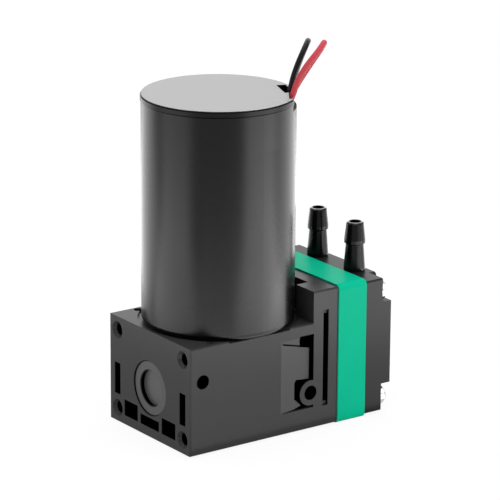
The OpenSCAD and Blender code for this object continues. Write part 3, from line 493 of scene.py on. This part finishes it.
metal_finishes = {
    "can_paint": painted_can(),
    "cap_plastic": cap_coat(),
    "cap_metal": satin_disc(),
    "screw_chrome": metal("screw chrome", (0.55, 0.55, 0.56), 0.14),
    "steel": metal("steel", (0.56, 0.57, 0.58), 0.34),
    "lamination": metal("lamination", (0.3, 0.31, 0.33), 0.5),
    "copper": metal("copper", (0.72, 0.3, 0.14), 0.3),
    "brass": metal("brass", (0.72, 0.53, 0.22), 0.28),
    "magnet": metal("magnet", (0.12, 0.12, 0.13), 0.5),
    "tinned": metal("tinned", (0.7, 0.7, 0.72), 0.3)}
# Blackened steel, darkened also as painted shade for the slits in the crankcase.
shaded_strip_steel = metal("blackened strip steel with painted shade", (0.02, 0.02, 0.021), 0.5)
print("metal finishes:", len(metal_finishes) + 1)

# %% [markdown]
# Rubber, the green board and the sleeves of the leads are the last finishes. The sleeves are
# soft silicone, a little wavy where the strands press from inside. On so thin a tube the waves
# show only as a change of gloss, so that is all they are.

# %% Soft finishes
WAVES = 0.8 * MM
WAVE_DRIFT = 0.1


def sleeve(name, colour, roughness, gloss):
    finish = Finish(name, colour, roughness, Specular_IOR_Level=gloss)
    finish.drift(finish.noise(WAVES), WAVE_DRIFT)
    return finish.material


soft_finishes = {
    "rubber": moulded("rubber", (0.035, 0.035, 0.037), 0.7, grain=0.4 * MM),
    "board": moulded("board", (0.015, 0.12, 0.05), 0.35),
    "black_sleeve": sleeve("black sleeve", (0.003, 0.0035, 0.004), 0.3, 0.12),
    "red_sleeve": sleeve("red sleeve", (0.5, 0.055, 0.07), 0.65, 0.15)}
print("soft finishes:", len(soft_finishes))

# %% [markdown]
# Each solid gets the finish of its own material. The record of the part names the material of
# every node, so a table from those names to the finishes is enough. Only the strips for the
# nuts have a finish of their own: they are steel too, but blackened, and the dark colour also
# paints the shade in their slits.

# %% Give each solid its finish
FINISHES = {**moulded_finishes, **metal_finishes, **soft_finishes}
OWN_FINISH = {"nut_strips": shaded_strip_steel}

for part in frame["record"]["subparts"]:
    slots = nodes[part["node"]].data.materials
    slots.clear()
    slots.append(OWN_FINISH.get(part["node"], FINISHES[part["material_slot"]]))

# %% [markdown]
# The leads leave the driver board, pass the notch in the cap's rim and rise to a soft crown.
# From there they fall behind the can, where it hides them, and end in a loose turn on the
# floor. Their routes are lists of points in millimetres, close together only where the bend is
# tight.

# %% Routes of the leads
BLACK_ROUTE = [
    (5.2, 4.2, 67.5), (5.25, 4.3, 68.5), (5.5, 4.8, 70.2), (5.8, 5.6, 72.5),
    (5.6, 6.5, 75), (5.5, 7.8, 77.8), (4.6, 10.2, 80.7), (2, 12.9, 81.3),
    (-0.5, 14, 79.2), (-1.6, 13.3, 75.8), (-2.4, 12.3, 71.8), (-4, 11.8, 67),
    (-6.5, 11.5, 62), (-10, 10.5, 56.5), (-13.5, 8.5, 50.5), (-16.5, 6.5, 44),
    (-19, 5, 37), (-20, 4.5, 30), (-20.5, 4.5, 23), (-20.5, 4.5, 16),
    (-20.5, 4, 10), (-20.5, 1, 4.5), (-20.5, -4, 1.2), (-20.8, -9, 0.8),
    (-22.1, -12.1, 0.8), (-25.2, -13.4, 0.8), (-28.3, -12.1, 0.8), (-29.6, -9, 0.8),
    (-29.5, -4, 0.8), (-29, 1.5, 0.8), (-28, 7, 0.8)]
RED_ROUTE = [
    (8, 2.5, 67.5), (8.05, 2.6, 68.5), (8.5, 3.2, 70.2), (9, 4, 72.5),
    (9, 5.1, 75), (9.4, 7, 78), (9.2, 10.2, 80.8), (6.7, 13.6, 81.7),
    (3.6, 14.9, 79.3), (1.8, 13.7, 76), (0.4, 11.9, 72.3), (-1.5, 10.5, 68),
    (-4, 9.5, 62.5), (-7.5, 8.5, 56.5), (-11, 6.5, 50.5), (-14.5, 4, 44),
    (-17, 2.5, 37), (-18, 2, 30), (-18.5, 2, 23), (-18.5, 2, 16),
    (-18.5, 1.5, 10), (-18.5, -1.5, 4.5), (-18.5, -6, 1.2), (-18.6, -10.5, 0.8),
    (-20.5, -14.8, 0.8), (-25.2, -16.6, 0.8), (-29.9, -14.8, 0.8), (-31.8, -10, 0.8),
    (-31.8, -3, 0.8)]
STEPS_BETWEEN_POINTS = 6


def smooth_curve(route, steps):
    """Between two points, a cubic that also looks at the point before and the one after, so
    that the direction at each point is half the way from its left to its right neighbour."""
    points = np.array(route, float) * MM
    padded = np.vstack([points[:1], points, points[-1:]])
    a, b, c, d = (padded[k:len(padded) - 3 + k, None, :] for k in range(4))
    t = (np.arange(steps) / steps)[None, :, None]
    inner = 0.5 * (2 * b + (c - a) * t + (2 * a - 5 * b + 4 * c - d) * t ** 2
                   + (3 * b - a - 3 * c + d) * t ** 3)
    return np.vstack([inner.reshape(-1, 3), points[-1:]])


black_line = smooth_curve(BLACK_ROUTE, STEPS_BETWEEN_POINTS)
red_line = smooth_curve(RED_ROUTE, STEPS_BETWEEN_POINTS)
print("points along the leads: %d and %d" % (len(black_line), len(red_line)))

# %% [markdown]
# The tube is a grid: one way along the curve, the other way round it. A Blender curve with a
# round bevel would give a tube too, but the grid has its rings exactly where the route has its
# points.

# %% A tube round a line
FIRST_SIDE = (1, 0.2, 0.1)


def sides_along(line):
    """Two directions square to a line at each of its points, carried along without twist: each
    step takes the last side and drops its part along the new direction."""
    ahead = np.gradient(line, axis=0)
    ahead /= np.linalg.norm(ahead, axis=1)[:, None]
    side = np.empty_like(ahead)
    last = np.array(FIRST_SIDE)
    for i, direction in enumerate(ahead):
        last = last - (last @ direction) * direction
        last /= np.linalg.norm(last)
        side[i] = last
    return side, np.cross(ahead, side)


def tube_mesh(name, line, radius, around):
    """A point at angle w round the line lies at line + radius * (cos w * side + sin w * up).
    Each end is closed by one face."""
    side, up = sides_along(line)
    w = np.linspace(0, 2 * math.pi, around, endpoint=False)[None, :, None]
    grid = line[:, None] + radius * (np.cos(w) * side[:, None] + np.sin(w) * up[:, None])
    rings = len(line)
    ids = np.arange(rings * around).reshape(rings, around)
    turned = np.roll(ids, -1, axis=1)
    quads = np.stack([ids[:-1], turned[:-1], turned[1:], ids[1:]], axis=-1).reshape(-1, 4)
    faces = quads.tolist() + [ids[0, ::-1].tolist(), ids[-1].tolist()]
    mesh = bpy.data.meshes.new(name)
    mesh.from_pydata(grid.reshape(-1, 3).tolist(), [], faces)
    mesh.polygons.foreach_set("use_smooth", [True] * len(quads) + [False, False])
    mesh.update()
    return mesh


# %% [markdown]
# The two tubes stay on the housing and stand for the plain tubes of the solid model, which are
# hidden. The whole free lead is a little longer than the drawn one, since a limp lead never
# lies exactly along its route. The drawn one is a little shorter, since a limp lead never lies
# exactly along its route.

# %% Lay the leads
LEAD_DIAMETER = 0.00125
SIDES_OF_TUBE = 20


def add_lead(name, line, node):
    mesh = tube_mesh(name, line, LEAD_DIAMETER / 2, SIDES_OF_TUBE)
    lead = bpy.data.objects.new(name, mesh)
    bpy.context.scene.collection.objects.link(lead)
    mesh.materials.append(FINISHES[name])
    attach(lead, "housing")
    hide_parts(node)
    drawn = np.linalg.norm(np.diff(line, axis=0), axis=1).sum()
    print("%s: %.1f mm long" % (name, drawn / MM))


add_lead("black_sleeve", black_line, "black_lead")
add_lead("red_sleeve", red_line, "red_lead")

# %% [markdown]
# The studio is a white floor and a white surround. Both show white to the camera and in
# reflections, and light the pump only gently. More light would make them white too, but it
# would bleach the pump. The floor keeps a faint shadow by mixing its plain white face with a
# little of its true, shaded one.

# %% Floor and surround
WHITE = (1, 1, 1, 1)
FLOOR_REACH = 3.0
FLOOR_GREY = (0.8, 0.8, 0.8)
FLOOR_GLOW = 1.03
SHADOW_SHARE = 0.12
SURROUND_LIGHT = 0.45


def seen_directly(graph):
    """1 for rays from the camera, in reflections and through glass, otherwise 0."""
    camera, glossy, through = (
        graph.node("ShaderNodeLightPath", {}, {}, "Is %s Ray" % kind)
        for kind in ("Camera", "Glossy", "Transmission"))
    return (camera + glossy + through).clamped()


def add_floor():
    mesh = bpy.data.meshes.new("floor")
    r = FLOOR_REACH
    mesh.from_pydata([(-r, -r, 0), (r, -r, 0), (r, r, 0), (-r, r, 0)], [], [(0, 1, 2, 3)])
    floor = bpy.data.objects.new("floor", mesh)
    bpy.context.scene.collection.objects.link(floor)
    finish = Finish("studio floor", FLOOR_GREY, 0.9, Specular_IOR_Level=0.0)
    glow = finish.node("ShaderNodeEmission", {}, {"Color": WHITE, "Strength": FLOOR_GLOW})
    mixed = finish.node("ShaderNodeMixShader", {}, [
        seen_directly(finish) * (1 - SHADOW_SHARE),
        Value(finish, finish.shader.outputs[0]), glow])
    finish.feed(finish.tree.nodes["Material Output"].inputs["Surface"], mixed)
    mesh.materials.append(finish.material)


def add_surround():
    """Full white where it is seen, and only SURROUND_LIGHT where it lights."""
    world = bpy.data.worlds.new("surround")
    bpy.context.scene.world = world
    world.use_nodes = True
    graph = Graph(world.node_tree)
    background = graph.tree.nodes["Background"]
    graph.feed(background.inputs["Color"], WHITE)
    graph.feed(background.inputs["Strength"],
               seen_directly(graph) * (1 - SURROUND_LIGHT) + SURROUND_LIGHT)


add_floor()
add_surround()
print("floor: %.0f m wide, surround lights with %.2f" % (2 * FLOOR_REACH, SURROUND_LIGHT))

# %% [markdown]
# Four soft boxes light the pump, one above and one each to the right, to the left and behind.
# Small lamps would draw hard shades, large ones give the soft ones of a product picture.

# %% Soft boxes
AIM = Vector((0, 0, 0.035))
SOFT_BOXES = [
    # name, place, width, height, radiance
    ("top box", (-0.1, 0.0, 0.8), 0.9, 0.9, 1.9),
    ("right box", (0.5, 0.25, 0.35), 0.5, 0.5, 1.8),
    ("left box", (0.1, -0.6, 0.35), 0.5, 0.5, 1.0),
    ("back box", (-0.62, 0.45, 0.27), 0.9, 0.4, 0.9)]


def area_lamp(name, width, height, radiance):
    """A lamp gives off pi times its radiance from each square metre."""
    lamp = bpy.data.lights.new(name, "AREA")
    lamp.shape = "RECTANGLE"
    lamp.size = width
    lamp.size_y = height
    lamp.energy = radiance * math.pi * width * height
    box = bpy.data.objects.new(name, lamp)
    box.visible_camera = False
    bpy.context.scene.collection.objects.link(box)
    return box


def soft_box(name, place, width, height, radiance):
    box = area_lamp(name, width, height, radiance)
    box.location = place
    box.rotation_euler = (AIM - Vector(place)).to_track_quat("-Z", "Y").to_euler()


for row in SOFT_BOXES:
    soft_box(*row)
print("soft boxes:", len(SOFT_BOXES))

# %% [markdown]
# The bands on the can come from below: seen from a little above, its upright wall mirrors the
# table round the pump, so strips of the table glow. They are lamps that lie on the floor and
# face upwards, and they show only in reflections. The strips to the right and left of the
# camera draw the two bright bands, the one at the front a dim one between them, and those at
# the back the thin bright edges.

# %% Glowing strips of the table
TABLE_HEIGHT = 0.001
TABLE_STRIPS = [
    # name, azimuth in degrees, distance of the near and the far end, width, radiance
    ("far right strip", 28, 0.21, 0.37, 0.27, 5.2),
    ("near right strip", 26, 0.074, 0.21, 0.15, 6.9),
    ("right foot strip", 0, 0.017, 0.072, 0.2, 2.1),
    ("far left strip", -99, 0.21, 0.37, 0.24, 2.2),
    ("near left strip", -99, 0.085, 0.21, 0.13, 4.8),
    ("front strip", -36, 0.06, 0.16, 0.12, 2.0),
    ("back left strip", -165, 0.1, 0.4, 0.22, 2.0),
    ("back right strip", 88, 0.09, 0.4, 0.28, 2.2)]


def table_strip(name, azimuth, near, far, width, radiance):
    """A glowing strip of the table that runs away from the pump. It shows in reflections and
    lights nothing, so that the colours stay as they are written."""
    box = area_lamp(name, width, far - near, radiance)
    angle = math.radians(azimuth)
    middle = (near + far) / 2
    box.location = (middle * math.cos(angle), middle * math.sin(angle), TABLE_HEIGHT)
    box.rotation_euler = (math.pi, 0, angle + math.pi / 2)
    box.visible_diffuse = False


for row in TABLE_STRIPS:
    table_strip(*row)
print("strips of the table:", len(TABLE_STRIPS))

# %% [markdown]
# The view is plain: colours are shown as they are, without a film curve.

# %% View
bpy.context.scene.view_settings.view_transform = "Standard"
